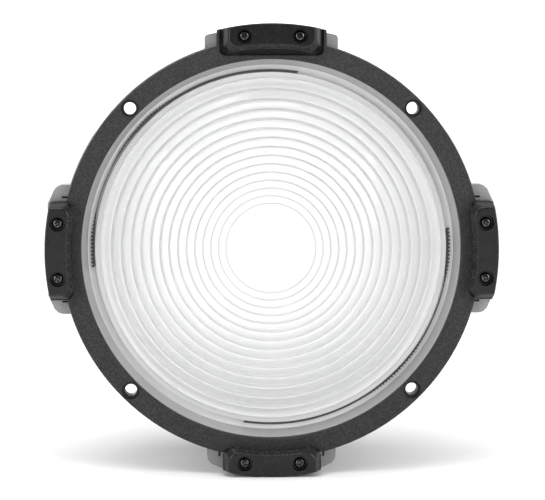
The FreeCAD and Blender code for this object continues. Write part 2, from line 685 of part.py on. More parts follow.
def fixed_barrel_screws():
    """Countersunk screws, flush so that the thrust washer lies flat over them."""
    z = BARREL_Z0 + 3.5
    body = Part.makeCylinder(1.5, 7.5, V(0, 0, z - 7.5))
    slot = Part.makeBox(2.4, 0.6, 0.8, V(-1.2, -0.3, z - 0.8))
    return around(moved(body.cut(slot), BARREL_SCREW_R, 0, 0), BARREL_SCREW_ANGLES)


def rear_cover():
    """Black cast bell from the bayonet seat out to the zoom ring, with four fans of vent slots."""
    inner = COVER_R - COVER_WALL
    body = revolved([
        (BAYONET_R + 0.2, 1.0), (SEAT_STEP_R, 1.0), (SEAT_STEP_R, 0), (SEAT_R - 0.8, 0), (SEAT_R, 0.8),
        (SEAT_R, 9.0), (81.0, 13.0), (COVER_R - 1.5, 58.5), (COVER_R, 61.0), (COVER_R, COVER_Z1 - 0.8),
        (COVER_R - 0.8, COVER_Z1), (inner, COVER_Z1), (inner, LEDGE_Z), (113.5, LEDGE_Z),
        (113.5, LEDGE_Z - 4), (119.0, LEDGE_Z - 4), (77.5, 15.5), (74.5, 11.0), (74.5, 6.0),
        (BAYONET_R + 0.2, 6.0),
    ])
    vent = stadium(89.0, 111.0, 2.4, 5, 55)
    body = body.cut(around(vent, spread((0, 90, 180, 270), 9, 7.2)))
    screw = Part.makeCylinder(1.25, 8, V(BAYONET_SCREW_R, 0, 1.8))
    cutters = [turned(screw, a) for a in BAYONET_SCREW_ANGLES]
    cutters += [turned(Part.makeCylinder(1.5, 3.0, V(BARREL_SCREW_R, 0, LEDGE_Z - 3)), a)
                for a in BARREL_SCREW_ANGLES]
    cutters.append(Part.makeCylinder(LOCK_HOLE_R, 4.5, V(0, LOCK_HOLE_PCD_R, 0)))
    cutters.append(index_blank())
    return body.cut(Part.makeCompound(cutters)).removeSplitter()


BAYONET_SCREW_ANGLES = [a for a in range(30, 360, 60)]
BAYONET_SCREW_R = 55.4


def bayonet_ring():
    """Steel collar with three tabs that lock behind the lamp's ring."""
    body = revolved([
        (BAYONET_BORE_R, -BAYONET_DEPTH), (BAYONET_R, -BAYONET_DEPTH), (BAYONET_R, 6.0), (60.5, 6.0),
        (60.5, 8.5), (BAYONET_BORE_R, 8.5),
    ])
    tab = tube(BAYONET_R - 0.5, BAYONET_TAB_R, -BAYONET_DEPTH, -BAYONET_DEPTH + 2.5)
    wedge = Part.makeCylinder(70, 10, V(0, 0, -BAYONET_DEPTH - 2), Z_AXIS, 24)
    wedge.rotate(ORIGIN, Z_AXIS, -12)
    tab = tab.common(wedge)
    body = body.multiFuse([turned(tab, a) for a in (90, 210, 330)])
    holes = [turned(Part.makeCylinder(1.25, 10, V(BAYONET_SCREW_R, 0, 4)), a) for a in BAYONET_SCREW_ANGLES]
    return body.cut(Part.makeCompound(holes)).removeSplitter()


def bayonet_screws():
    screw = pan_screw(2.4, 1.6, 1.25, 6.7)
    return around(moved(screw, BAYONET_SCREW_R, 0, 8.5), BAYONET_SCREW_ANGLES)


def rear_liner():
    """White inner cone between the bayonet and the tubes, clamped under the fixed barrel."""
    skin = 1.0
    return revolved([
        (62.0, 12.0), (63.0, 12.0), (102.5, LEDGE_Z), (122.5, LEDGE_Z), (122.5, LEDGE_Z + skin),
        (101.8, LEDGE_Z + skin),
    ]).cut(Part.makeCompound([turned(Part.makeCylinder(1.5, 6, V(BARREL_SCREW_R, 0, 58)), a)
                              for a in BARREL_SCREW_ANGLES]))


def index_blank():
    """Small arrow let into the cover rim at the top."""
    outline = Part.makePolygon([V(-3.0, 0, 68), V(3.0, 0, 68), V(0, 0, 78.5), V(-3.0, 0, 68)])
    return Part.Face(outline).extrude(V(0, 140, 0)).common(tube(COVER_R - 0.8, COVER_R, 60, 80))


# ---- nodes ---------------------------------------------------------------------------------------------------
NODES = {
    "rear_cover": rear_cover,
    "index_mark": index_blank,
    "bayonet_ring": bayonet_ring,
    "bayonet_screws": bayonet_screws,
    "rear_liner": rear_liner,
    "fixed_barrel": fixed_barrel,
    "fixed_barrel_screws": fixed_barrel_screws,
    "front_glide_ring": front_glide_ring,
    "rear_thrust_washer": rear_thrust_washer,
    "front_thrust_washer": front_thrust_washer,
    "zoom_retainer": zoom_retainer,
    "zoom_retainer_screws": zoom_retainer_screws,
    "zoom_ring": zoom_ring,
    "zoom_grip": zoom_grip,
    "scale_band": scale_band,
    "lens_housing": lens_housing,
    "front_ring": front_ring,
    "front_ring_screws": front_ring_screws,
    "fresnel_lens": fresnel_lens,
    "lens_gasket": lens_gasket,
    "lens_cushion_strips": lens_cushion_strips,
    "lens_retainer": lens_retainer,
    "inner_sleeve": inner_sleeve,
    "sleeve_liner": sleeve_liner,
    "sleeve_screws": sleeve_screws,
    "rear_glide_ring": rear_glide_ring,
    "cam_pins": cam_pins,
    "cam_bushes": cam_bushes,
    "ear_left": lambda: fixed_ear(LEFT),
    "ear_right": lambda: fixed_ear(RIGHT),
    "ear_bottom": lambda: fixed_ear(BOTTOM),
    "ear_screws_left": lambda: ear_screws(LEFT),
    "ear_screws_right": lambda: ear_screws(RIGHT),
    "ear_screws_bottom": lambda: ear_screws(BOTTOM),
    "latch_anchor_posts": latch_anchor_posts,
    "latch_cover": latch_cover,
    "latch_cover_screws": latch_cover_screws,
    "latch_cap": latch_cap,
    "latch_slide": latch_slide,
    "latch_slide_posts": latch_slide_posts,
    "latch_screws": latch_screws,
    "latch_springs": latch_springs,
}


def main():
    os.makedirs("parts", exist_ok=True)
    for name, build in NODES.items():
        shape = build()
        shape.rotate(ORIGIN, X_AXIS, 90)
        shape.exportStep(f"parts/{name}.step")
        print(f"{name}: {len(shape.Solids)} solids, {shape.Volume / 1000:.1f} cm3, valid {shape.isValid()}")


main()
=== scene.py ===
"""Looks for the fresnel spotlight attachment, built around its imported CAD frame.

Metres, in the row frame: the lens faces -Y, +Z is up. Profiles are written in the optical frame of the part:
radius r, and height z along the light beam, which is -Y here.
"""

import json
import math
from contextlib import contextmanager

import bmesh
import bpy
from mathutils import Matrix, Vector


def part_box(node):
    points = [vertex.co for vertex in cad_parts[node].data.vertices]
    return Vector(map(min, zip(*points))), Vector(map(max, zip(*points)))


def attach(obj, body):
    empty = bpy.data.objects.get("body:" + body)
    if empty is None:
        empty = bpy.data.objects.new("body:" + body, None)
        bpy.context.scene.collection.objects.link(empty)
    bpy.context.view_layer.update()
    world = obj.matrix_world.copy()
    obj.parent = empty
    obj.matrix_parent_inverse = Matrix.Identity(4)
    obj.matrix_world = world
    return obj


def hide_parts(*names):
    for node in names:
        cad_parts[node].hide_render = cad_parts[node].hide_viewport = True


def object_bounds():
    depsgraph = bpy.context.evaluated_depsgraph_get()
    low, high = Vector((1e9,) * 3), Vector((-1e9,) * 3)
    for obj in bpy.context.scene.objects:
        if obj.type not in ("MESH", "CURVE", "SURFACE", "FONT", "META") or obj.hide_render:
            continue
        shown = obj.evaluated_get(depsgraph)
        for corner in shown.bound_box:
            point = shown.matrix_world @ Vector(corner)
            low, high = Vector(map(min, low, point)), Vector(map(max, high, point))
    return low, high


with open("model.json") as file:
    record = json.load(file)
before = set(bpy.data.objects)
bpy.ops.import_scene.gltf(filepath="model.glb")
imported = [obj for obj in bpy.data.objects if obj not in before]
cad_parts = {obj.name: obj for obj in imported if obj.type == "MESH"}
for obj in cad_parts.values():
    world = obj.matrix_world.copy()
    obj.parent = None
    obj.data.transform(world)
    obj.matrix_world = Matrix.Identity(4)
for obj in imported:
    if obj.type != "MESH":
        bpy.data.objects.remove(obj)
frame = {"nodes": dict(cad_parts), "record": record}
cad_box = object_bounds()
NODES = frame["nodes"]
MM = 0.001

# ---- sizes that several pieces share: millimetres in the optical frame ---------------------------
LENS_BACK_Z = 214.5
LENS_R = 125.0
LENS_RIM_THICK = 11.0
LENS_RIM_Z = LENS_BACK_Z + LENS_RIM_THICK
LENS_BORE_R = 126.6
FLANGE_FRONT_Z = 240.0
POCKET_Z = 242.0
RING_FRONT_Z = 247.5
RING_BORE_R = 127.0
# the fixed ears, with their angles from the top, counter-clockwise for a viewer who faces the lens
SIDE_EARS = (("left", 90), ("right", -90), ("bottom", 180))

# ---- camera and stage: metres and degrees --------------------------------------------------------
VIEW_DISTANCE = 1.9
VIEW_AZIMUTH = -2.0
VIEW_ELEVATION = 4.5
SENSOR = 36.0
# the width that the camera sees at its target, and where the target is on the front ring's face
FRAME_WIDTH = 0.3639
TARGET_X = 0.0005
TARGET_Z = -0.0001
CLIP_END = 50
# how bright the world is, from the side that the lens faces (0) to the side behind it (1)
WORLD_LEVELS = ((0.0, 0.2), (0.01, 0.2), (0.12, 0.6), (0.42, 0.75), (0.55, 1.3), (0.8, 1.8))
FLOOR_HALF = 6.0
FLOOR_GAP = 0.0005
FLOOR_LEVEL = 0.93
LIGHTS_AIM = (0, -0.2, 0)
# name, place, size and watts
LIGHTS = (("key", (-0.2, -1.2, 1.7), (1.2, 0.6), 13),
          ("left", (-1.2, -1.75, 0.5), (0.6, 1.0), 12),
          ("right", (1.2, -1.75, 0.55), (0.6, 1.0), 14))


def add_object(name, data):
    thing = bpy.data.objects.new(name, data)
    bpy.context.scene.collection.objects.link(thing)
    return thing


def add_camera():
    ring_face_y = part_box("front_ring")[0].y
    target = Vector((TARGET_X, ring_face_y, TARGET_Z))
    az, el = math.radians(VIEW_AZIMUTH), math.radians(VIEW_ELEVATION)
    away = Vector((math.sin(az) * math.cos(el), -math.cos(az) * math.cos(el), math.sin(el)))
    camera = bpy.data.cameras.new("camera")
    camera.sensor_width = SENSOR
    camera.lens = SENSOR * VIEW_DISTANCE / FRAME_WIDTH
    camera.clip_end = CLIP_END
    holder = add_object("camera", camera)
    holder.location = target + away * VIEW_DISTANCE
    holder.rotation_euler = (-away).to_track_quat("-Z", "Y").to_euler()
    bpy.context.scene.camera = holder


def add_area_light(name, location, size, power):
    light = bpy.data.lights.new(name, "AREA")
    light.shape = "RECTANGLE"
    light.size, light.size_y = size
    light.energy = power
    holder = add_object(name, light)
    holder.location = location
    holder.rotation_euler = (Vector(LIGHTS_AIM) - Vector(location)).to_track_quat("-Z", "Y").to_euler()


def add_world():
    """White light from all round, brighter from behind the object than from in front of it."""
    world = bpy.data.worlds.new("studio")
    world.use_nodes = True
    nodes, links = world.node_tree.nodes, world.node_tree.links
    where = nodes.new("ShaderNodeTexCoord")
    parts = nodes.new("ShaderNodeSeparateXYZ")
    links.new(where.outputs["Generated"], parts.inputs["Vector"])
    fraction = scaled(nodes, links, parts.outputs["Y"], (-1, 1), (0, 1))
    fade = ramp(nodes, links, fraction, [(at, grey(level)) for at, level in WORLD_LEVELS])
    fade.color_ramp.interpolation = "EASE"
    nodes["Background"].inputs["Color"].default_value = (1, 1, 1, 1)
    links.new(fade.outputs["Color"], nodes["Background"].inputs["Strength"])
    bpy.context.scene.world = world
    bpy.context.scene.view_settings.view_transform = "Standard"


def add_floor():
    z = cad_box[0][2] - FLOOR_GAP
    corners = [(x * FLOOR_HALF, y * FLOOR_HALF, z) for x, y in ((-1, -1), (1, -1), (1, 1), (-1, 1))]
    mesh = bpy.data.meshes.new("floor")
    mesh.from_pydata(corners, [], [(0, 1, 2, 3)])
    floor = add_object("floor", mesh)
    floor.data.materials.append(plain("floor_paper", grey(FLOOR_LEVEL), 0.9))


# ---- materials -----------------------------------------------------------------------------------
CLOUD_SCALE = 18.0
CLOUD_SHARE = 0.35
# where on the noise the dark and the light colour of a paint lie
GRAIN_STOPS = (0.45, 0.9)
SPECKLE_STOPS = (0.4, 0.66)
GLASS_COLOR = (0.9, 0.908, 0.905)
GLASS_INDEX_LOOK = 1.49
GLASS_HAZE = 0.02
GLASS_HAZE_SCALE = 90.0
FRONT_ROUGHNESS = 0.1
STIPPLE_ROUGHNESS = 0.36
# the stippled layer, in millimetres above the back of the glass
STIPPLE_START = 0.3
STIPPLE_END = 1.2
# how clear the glass is, inside and outside a narrow band of radii, in metres; the milkier outer band is
# painted light that lifts the shade of the deep seat round the glass
MIDDLE_CLEAR = 0.5
RIM_CLEAR_PAINTED_LIGHT = 0.3
CLEAR_BAND = (0.106, 0.1165)


def grey(level):
    return (level, level, level)


def new_material(name):
    material = bpy.data.materials.new(name)
    material.use_nodes = True
    nodes, links = material.node_tree.nodes, material.node_tree.links
    return material, nodes, links, nodes["Principled BSDF"]


def plain(name, color, roughness):
    material, nodes, links, shader = new_material(name)
    shader.inputs["Base Color"].default_value = (*color, 1)
    shader.inputs["Roughness"].default_value = roughness
    return material


def object_noise(nodes, links, scale, detail=2.0, roughness=0.5):
    where = nodes.new("ShaderNodeTexCoord")
    noise = nodes.new("ShaderNodeTexNoise")
    noise.inputs["Scale"].default_value = scale
    noise.inputs["Detail"].default_value = detail
    noise.inputs["Roughness"].default_value = roughness
    links.new(where.outputs["Object"], noise.inputs["Vector"])
    return noise


def ramp(nodes, links, source, stops):
    """A Color Ramp node with (place, colour) stops."""
    node = nodes.new("ShaderNodeValToRGB")
    while len(node.color_ramp.elements) < len(stops):
        node.color_ramp.elements.new(0.5)
    for element, (place, color) in zip(node.color_ramp.elements, stops):
        element.position = place
        element.color = (*color, 1)
    links.new(source, node.inputs["Fac"])
    return node


def scaled(nodes, links, source, before, after):
    """The output of a Map Range node that takes the range before to the range after."""
    node = nodes.new("ShaderNodeMapRange")
    for socket, value in zip(("From Min", "From Max", "To Min", "To Max"), (*before, *after)):
        node.inputs[socket].default_value = value
    links.new(source, node.inputs["Value"])
    return node.outputs["Result"]


def bump(nodes, links, source, distance, shader):
    node = nodes.new("ShaderNodeBump")
    node.inputs["Strength"].default_value = 1.0
    node.inputs["Distance"].default_value = distance
    links.new(source, node.inputs["Height"])
    links.new(node.outputs["Normal"], shader.inputs["Normal"])


def coated(name, dark, light, roughness, grain_scale, grain_depth, metallic=0.0, spread=0.06,
           specular=0.5, speckle=None):
    """A finish with a fine grain: gloss and bump follow a small noise.

    The colour follows the same noise with some cloud in it, or a speckle of its own scale.
    """
    material, nodes, links, shader = new_material(name)
    grain = object_noise(nodes, links, grain_scale, 3.0, 0.6).outputs["Fac"]
    if speckle:
        spots = object_noise(nodes, links, speckle, 1.0, 0.4).outputs["Fac"]
        stops = SPECKLE_STOPS
    else:
        mix = nodes.new("ShaderNodeMath")
        mix.operation = "MULTIPLY_ADD"
        mix.inputs[1].default_value = CLOUD_SHARE
        links.new(object_noise(nodes, links, CLOUD_SCALE).outputs["Fac"], mix.inputs[0])
        links.new(grain, mix.inputs[2])
        spots = mix.outputs[0]
        stops = GRAIN_STOPS
    tint = ramp(nodes, links, spots, list(zip(stops, (dark, light))))
    links.new(tint.outputs["Color"], shader.inputs["Base Color"])
    gloss = scaled(nodes, links, grain, (0, 1), (roughness - spread, roughness + spread))
    links.new(gloss, shader.inputs["Roughness"])
    shader.inputs["Metallic"].default_value = metallic
    shader.inputs["Specular IOR Level"].default_value = specular
    bump(nodes, links, grain, grain_depth, shader)
    return material


def glass(name):
    """Half milky glass: a smooth front, a rough stippled back, and a rim milkier than the middle, as painted
    light that lifts the shade of its recess.
    """
    material, nodes, links, shader = new_material(name)
    shader.inputs["Base Color"].default_value = (*GLASS_COLOR, 1)
    shader.inputs["IOR"].default_value = GLASS_INDEX_LOOK
    where = nodes.new("ShaderNodeTexCoord").outputs["Object"]
    parts = nodes.new("ShaderNodeSeparateXYZ")
    links.new(where, parts.inputs["Vector"])
    layer = [-MM * (LENS_BACK_Z + height) for height in (STIPPLE_END, STIPPLE_START)]
    stipple = scaled(nodes, links, parts.outputs["Y"], layer, (FRONT_ROUGHNESS, STIPPLE_ROUGHNESS))
    haze = object_noise(nodes, links, GLASS_HAZE_SCALE).outputs["Fac"]
    total = nodes.new("ShaderNodeMath")
    links.new(scaled(nodes, links, haze, (0, 1), (-GLASS_HAZE, GLASS_HAZE)), total.inputs[0])
    links.new(stipple, total.inputs[1])
    links.new(total.outputs[0], shader.inputs["Roughness"])
    flat = nodes.new("ShaderNodeVectorMath")
    flat.operation = "MULTIPLY"
    flat.inputs[1].default_value = (1.0, 0.0, 1.0)
    links.new(where, flat.inputs[0])
    radius = nodes.new("ShaderNodeVectorMath")
    radius.operation = "LENGTH"
    links.new(flat.outputs["Vector"], radius.inputs[0])
    # painted light: the outer band of the glass is made milkier, so it looks lit where the seat round it
    # shades it
    clear = scaled(nodes, links, radius.outputs["Value"], CLEAR_BAND, (MIDDLE_CLEAR, RIM_CLEAR_PAINTED_LIGHT))
    links.new(clear, shader.inputs["Transmission Weight"])
    return material


def make_materials():
    """Every finish; coated takes its name, dark, light, roughness, grain scale and grain depth in metres."""
    return {
        "black_casting": coated("black_casting", grey(0.012), grey(0.035), 0.5, 900, 0.00012),
        "black_tube": coated("black_tube", grey(0.01), grey(0.022), 0.42, 1500, 0.00003),
        "black_ring": coated("black_ring", grey(0.003), grey(0.019), 0.5, 1800, 0.0004,
                             specular=0.4, speckle=1000),
        "black_ear": coated("black_ear", grey(0.001), grey(0.005), 0.27, 260, 0.000005,
                            spread=0.05, specular=0.37),
        "trim_grey": coated("trim_grey", grey(0.36), grey(0.44), 0.38, 900, 0.00003, 0.2),
        "grey_casting": coated("grey_casting", grey(0.21), grey(0.29), 0.42, 900, 0.00005, 0.3),
        "white_liner": coated("white_liner", grey(0.87), grey(0.92), 0.6, 600, 0.00003),
        "white_mark": coated("white_mark", grey(0.78), grey(0.86), 0.5, 800, 0.00002),
        "white_acetal": coated("white_acetal", (0.74, 0.73, 0.69), (0.84, 0.83, 0.79), 0.4, 300, 0.00002),
        "white_silicone": coated("white_silicone", (0.90, 0.90, 0.89), (0.95, 0.95, 0.94), 0.6, 400,
                                 0.00002),
        "dark_rubber": coated("dark_rubber", grey(0.05), grey(0.1), 0.7, 800, 0.00004),
        "grip_rubber": coated("grip_rubber", grey(0.008), grey(0.022), 0.65, 1200, 0.00005),
        "lens_glass": glass("lens_glass"),
        "aluminium": coated("aluminium", grey(0.40), grey(0.50), 0.34, 500, 0.00001, 1.0),
        "steel": coated("steel", (0.36, 0.36, 0.37), (0.46, 0.46, 0.47), 0.28, 700, 0.00001, 1.0),
        "screw_steel": coated("screw_steel", grey(0.45), grey(0.7), 0.22, 700, 0.00001, 1.0),
        "dark_screw": coated("dark_screw", grey(0.05), grey(0.08), 0.14, 300, 0.000001, 1.0, spread=0.02),
        "black_steel": coated("black_steel", grey(0.02), grey(0.05), 0.35, 700, 0.00001, 0.8),
    }


MATERIALS = make_materials()


def dress_cad_nodes():
    """Every CAD node that stays in view gets the material of its slot."""
    for part in frame["record"]["subparts"]:
        slots = NODES[part["node"]].data.materials
        slots.clear()
        slots.append(MATERIALS[part["material_slot"]])


# ---- mesh tools ----------------------------------------------------------------------------------
def to_row(point):
    """Optical frame in millimetres to row frame in metres."""
    x, y, z = point
    return (x * MM, -z * MM, y * MM)


@contextmanager
def editing(mesh):
    """A bmesh copy of the mesh, which is written back at the end."""
    work = bmesh.new()
    work.from_mesh(mesh)
    yield work
    work.to_mesh(mesh)
    work.free()


def make_object(name, verts, faces):
    mesh = bpy.data.meshes.new(name)
    mesh.from_pydata([to_row(v) for v in verts], [], faces)
    with editing(mesh) as work:
        bmesh.ops.remove_doubles(work, verts=work.verts, dist=1e-7)
        bmesh.ops.delete(work, geom=[e for e in work.edges if not e.link_faces], context="EDGES")
        bmesh.ops.recalc_face_normals(work, faces=work.faces)
    return add_object(name, mesh)


def rounded(corners, steps=5):
    """A closed outline of (a, b, radius) corners with each corner rounded by an arc of its radius."""
    points = []
    for i, (a, b, radius) in enumerate(corners):
        corner = Vector((a, b))
        if radius <= 0:
            points.append((a, b))
            continue
        to_last = (Vector(corners[i - 1][:2]) - corner).normalized()
        to_next = (Vector(corners[(i + 1) % len(corners)][:2]) - corner).normalized()
        half = to_last.angle(to_next) / 2
        centre = corner + (to_last + to_next).normalized() * radius / math.sin(half)
        start = corner + to_last * radius / math.tan(half) - centre
        end = corner + to_next * radius / math.tan(half) - centre
        a0 = math.atan2(start.y, start.x)
        sweep = (math.atan2(end.y, end.x) - a0 + math.pi) % (2 * math.pi) - math.pi
        for k in range(steps + 1):
            angle = a0 + sweep * k / steps
            points.append((centre.x + radius * math.cos(angle), centre.y + radius * math.sin(angle)))
    return points


def lathe(name, profile, segments=256):
    """A closed (radius, height) profile turned about the optical axis."""
    verts = []
    for i in range(segments):
        angle = 2 * math.pi * i / segments
        verts += [(r * math.cos(angle), r * math.sin(angle), z) for r, z in profile]
    count = len(profile)
    faces = []
    for i in range(segments):
        here, there = i * count, (i + 1) % segments * count
        for j in range(count):
            k = (j + 1) % count
            faces.append((here + j, here + k, there + k, there + j))
    piece = make_object(name, verts, faces)
    with editing(piece.data) as work:
        bmesh.ops.dissolve_degenerate(work, dist=1e-8, edges=work.edges)
    return piece


def weld(piece, gap):
    """Close the hairline slivers, up to gap millimetres wide, that the cuts leave."""
    with editing(piece.data) as work:
        bmesh.ops.remove_doubles(work, verts=work.verts, dist=gap * MM)
    return piece


def loft(name, rings):
    """Closed rings with the same number of (x, y, z) points, joined in order and closed at both ends."""
    count = len(rings[0])
    verts = [p for ring in rings for p in ring]
    faces = [tuple(range(count))[::-1], tuple(range((len(rings) - 1) * count, len(rings) * count))]
    for i in range(len(rings) - 1):
        for j in range(count):
            k = (j + 1) % count
            faces.append((i * count + j, i * count + k, (i + 1) * count + k, (i + 1) * count + j))
    return make_object(name, verts, faces)


def spin(piece, degrees):
    """Turn a piece about the optical axis, as a viewer who faces the lens sees it, and return it."""
    piece.data.transform(Matrix.Rotation(-math.radians(degrees), 4, "Y"))
    return piece


def shift(piece, x, y, z):
    piece.data.transform(Matrix.Translation(to_row((x, y, z))))
    return piece


def remove(piece):
    mesh = piece.data
    bpy.data.objects.remove(piece)
    bpy.data.meshes.remove(mesh)


def join(name, pieces):
    """One object that holds the meshes of all the pieces."""
    work = bmesh.new()
    for piece in pieces:
        work.from_mesh(piece.data)
    mesh = bpy.data.meshes.new(name)
    work.to_mesh(mesh)
    work.free()
    for piece in pieces:
        remove(piece)
    return add_object(name, mesh)


def evaluated_mesh(thing):
    """The mesh of an object, or of a text, with its modifiers applied."""
    bpy.context.view_layer.update()
    return bpy.data.meshes.new_from_object(thing.evaluated_get(bpy.context.evaluated_depsgraph_get()))


def apply_modifiers(piece):
    result = evaluated_mesh(piece)
    piece.modifiers.clear()
    old = piece.data
    piece.data = result
    bpy.data.meshes.remove(old)


def boolean(piece, tools, operation):
    """Cut the tools from a piece, or fuse them to it, one at a time."""
    for tool in tools:
        step = piece.modifiers.new("step", "BOOLEAN")
        step.operation = operation
        step.solver = "EXACT"
        step.object = tool
        apply_modifiers(piece)
        remove(tool)
    return piece


def cut(piece, *tools):
    return boolean(piece, tools, "DIFFERENCE")


def fuse(piece, *tools):
    return boolean(piece, tools, "UNION")


def finish_piece(piece, material, body, replaced, crease=32.0):
    """Shade, dress and seat a finished piece, and hide the CAD nodes that it stands for."""
    mesh = piece.data
    mesh.materials.clear()
    mesh.materials.append(MATERIALS[material])
    for polygon in mesh.polygons:
        polygon.material_index = 0
        polygon.use_smooth = True
    mesh.set_sharp_from_angle(angle=math.radians(crease))
    weighted = piece.modifiers.new("weighted", "WEIGHTED_NORMAL")
    weighted.keep_sharp = True
    apply_modifiers(piece)
    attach(piece, body)
    if replaced:
        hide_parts(*replaced)
    return piece


# ---- lens ----------------------------------------------------------------------------------------
CENTRE_ZONE_R = 29.7
ZONE_COUNT = 14
FIRST_ZONE_W = 5.0
ZONE_W_STEP = 0.145
LENS_BODY_R = 118.3
GROOVE_Z = 231.0
FOCAL_LENGTH = 350.0
GLASS_INDEX = 1.5
DOME_STEPS = 24
RISER_STEPS = 6
FACET_STEPS = 6
# a riser is this wide and wider by a share of its height, and its foot and crest are eased
RISER_WIDTH = 1.0
RISER_LEAN = 0.3
RISER_REACH = 0.97
FACET_END = 0.15


def zone_slope(r):
    """Tangent of the facet angle that bends a ray from the focus parallel to the axis."""
    beta = math.atan(r / FOCAL_LENGTH)
    return math.sin(beta) / (GLASS_INDEX - math.cos(beta))


def dome_profile():
    """The middle zone, from the axis out to the level of the grooves."""
    step = CENTRE_ZONE_R / DOME_STEPS
    falls = [zone_slope((i + 0.5) * step) * step for i in range(DOME_STEPS)]
    return [(i * step, GROOVE_Z + sum(falls[i:])) for i in range(DOME_STEPS + 1)]


def zone_profile(inner, outer):
    """One ring of the lens: an eased riser and a facet that falls back to the level of the grooves."""
    rise = (outer - inner) * zone_slope((inner + outer) / 2)
    draft = RISER_WIDTH + RISER_LEAN * rise
    crest = inner + draft
    points = []
    for i in range(1, RISER_STEPS):
        share = i / RISER_STEPS
        climb = RISER_REACH * rise * (1 - math.cos(math.pi * share)) / 2
        points.append((inner + share * draft, GROOVE_Z + climb))
    for i in range(1, FACET_STEPS + 1):
        r = crest + (outer - crest) * i / (FACET_STEPS + FACET_END)
        points.append((r, GROOVE_Z + (outer - r) * zone_slope((r + outer) / 2)))
    return points


def lens_piece():
    edges = [CENTRE_ZONE_R + FIRST_ZONE_W * k + ZONE_W_STEP * k * (k - 1) / 2 for k in range(ZONE_COUNT + 1)]
    edges.append(LENS_BODY_R)
    profile = dome_profile()
    for inner, outer in zip(edges, edges[1:]):
        profile += zone_profile(inner, outer)
    profile += rounded([(LENS_BODY_R, GROOVE_Z - 0.02, 0), (LENS_BODY_R + 0.5, LENS_RIM_Z, 0.4),
                        (LENS_R, LENS_RIM_Z, 0.8), (LENS_R, LENS_BACK_Z, 0.8), (LENS_BODY_R, LENS_BACK_Z, 0)])
    profile.append((0.0, LENS_BACK_Z))
    piece = lathe("lens_glass_disc", profile, 320)
    finish_piece(piece, "lens_glass", "lens_barrel", ["fresnel_lens"], crease=75)


# ---- ears ----------------------------------------------------------------------------------------
EAR_LIP_R = 134.2
EAR_SLOT_R = 140.0
EAR_OUTER_R = 151.0
EAR_HALF_BASE = 32.8
EAR_HALF_FACE = 28.8
EAR_FRONT_Z = 260.0
EAR_LIP_Z = 253.5
EAR_SCREW_N = 142.4
EAR_SCREW_T = 18.4
EAR_HEAD_SEAT_Z = 255.0
EAR_SLOPE = (EAR_HALF_BASE - EAR_HALF_FACE) / (EAR_FRONT_Z - EAR_LIP_Z)
EAR_INNER_CORNER = 6.0
EAR_OUTER_CORNER = 0.9
EAR_EDGE_R = 1.0
# the inner edge of the lip leans back from this far below the front face, by this much
EAR_LEAN_DROP = 3.4
EAR_LEAN = 2.25
FOOT_INSET = 0.05
FOOT_CORNER = 0.8
BOSS_R = 4.2
BOSS_END_Z = 229.7
SCREW_HOLE_R = 2.05
HEAD_HOLE_R = 4.9
LATCH_CAP_GAP = 0.3
# where cutting tools begin and end, well outside the material
CUT_BACK_Z = 200.0
CUT_FRONT_Z = 270.0


def arc_points(centre, radius, start, end, steps):
    angles = [start + (end - start) * k / steps for k in range(steps + 1)]
    return [(centre[0] + radius * math.cos(a), centre[1] + radius * math.sin(a)) for a in angles]


def ear_outline(z, half, inner_r, outer_r, inner_corner, outer_corner):
    """Outline of an ear at one height: an arc inside, an arc outside, straight ends and rounded corners."""
    ix, iy = half - inner_corner, math.sqrt((inner_r + inner_corner) ** 2 - (half - inner_corner) ** 2)
    ox, oy = half - outer_corner, math.sqrt((outer_r - outer_corner) ** 2 - (half - outer_corner) ** 2)
    inner_a, outer_a = math.atan2(iy, ix), math.atan2(oy, ox)
    right = arc_points((ix, iy), inner_corner, inner_a - math.pi, 0, 10)
    right += arc_points((ox, oy), outer_corner, 0, outer_a, 6)
    left = [(-x, y) for x, y in right[::-1]]
    span_out = arc_points((0, 0), outer_r, outer_a, math.pi - outer_a, 28)[1:-1]
    span_in = arc_points((0, 0), inner_r, math.pi - inner_a, inner_a, 28)[1:-1]
    return [(x, y, z) for x, y in right + span_out + left + span_in]


def eased_edge(radius, steps=4):
    """Levels of a rounded top edge: (height below the top, inset)."""
    angles = [math.pi / 2 * (k + 1) / steps for k in range(steps)]
    return [(radius * (1 - math.sin(a)), radius * (1 - math.cos(a))) for a in angles]


def ear_half(z):
    """Half the length of an ear at a height: its ends slope in towards the front."""
    return EAR_HALF_BASE - EAR_SLOPE * (z - EAR_LIP_Z)


def head_outline(z, half, inner_r, outer_r):
    return ear_outline(z, half, inner_r, outer_r, EAR_INNER_CORNER, EAR_OUTER_CORNER)


def ear_head(name):
    """The head of an ear, from the underside of its lip to its front face."""
    rings = []
    for rise, inset in ((0.0, 0.35), (0.12, 0.1), (0.4, 0.0)):
        half = EAR_HALF_BASE - inset - EAR_SLOPE * rise / 2
        rings.append(head_outline(EAR_LIP_Z + rise, half, EAR_LIP_R + inset, EAR_OUTER_R - inset))
    lean_z = EAR_FRONT_Z - EAR_LEAN_DROP
    for z, lean in ((lean_z - 0.5, 0.0), (lean_z - 0.1, 0.08), (lean_z + 0.35, 0.42),
                    (EAR_FRONT_Z - EAR_EDGE_R - 0.1, EAR_LEAN - 0.1)):
        rings.append(head_outline(z, ear_half(z), EAR_LIP_R + lean, EAR_OUTER_R))
    for drop, inset in eased_edge(EAR_EDGE_R):
        z = EAR_FRONT_Z - drop
        rings.append(head_outline(z, ear_half(z) - inset, EAR_LIP_R + EAR_LEAN + inset, EAR_OUTER_R - inset))
    return loft(name, rings)


def ear_foot(foot_z):
    """The part of an ear that stands behind its lip, beside the ring."""
    rings = []
    for z, inset in ((foot_z, 0.3), (foot_z + 0.3, 0.0), (EAR_LIP_Z + 1.0, 0.0)):
        rings.append(ear_outline(z, EAR_HALF_BASE - FOOT_INSET - inset, EAR_SLOT_R + inset,
                                 EAR_OUTER_R - FOOT_INSET - inset, FOOT_CORNER, EAR_OUTER_CORNER))
    return loft("foot", rings)


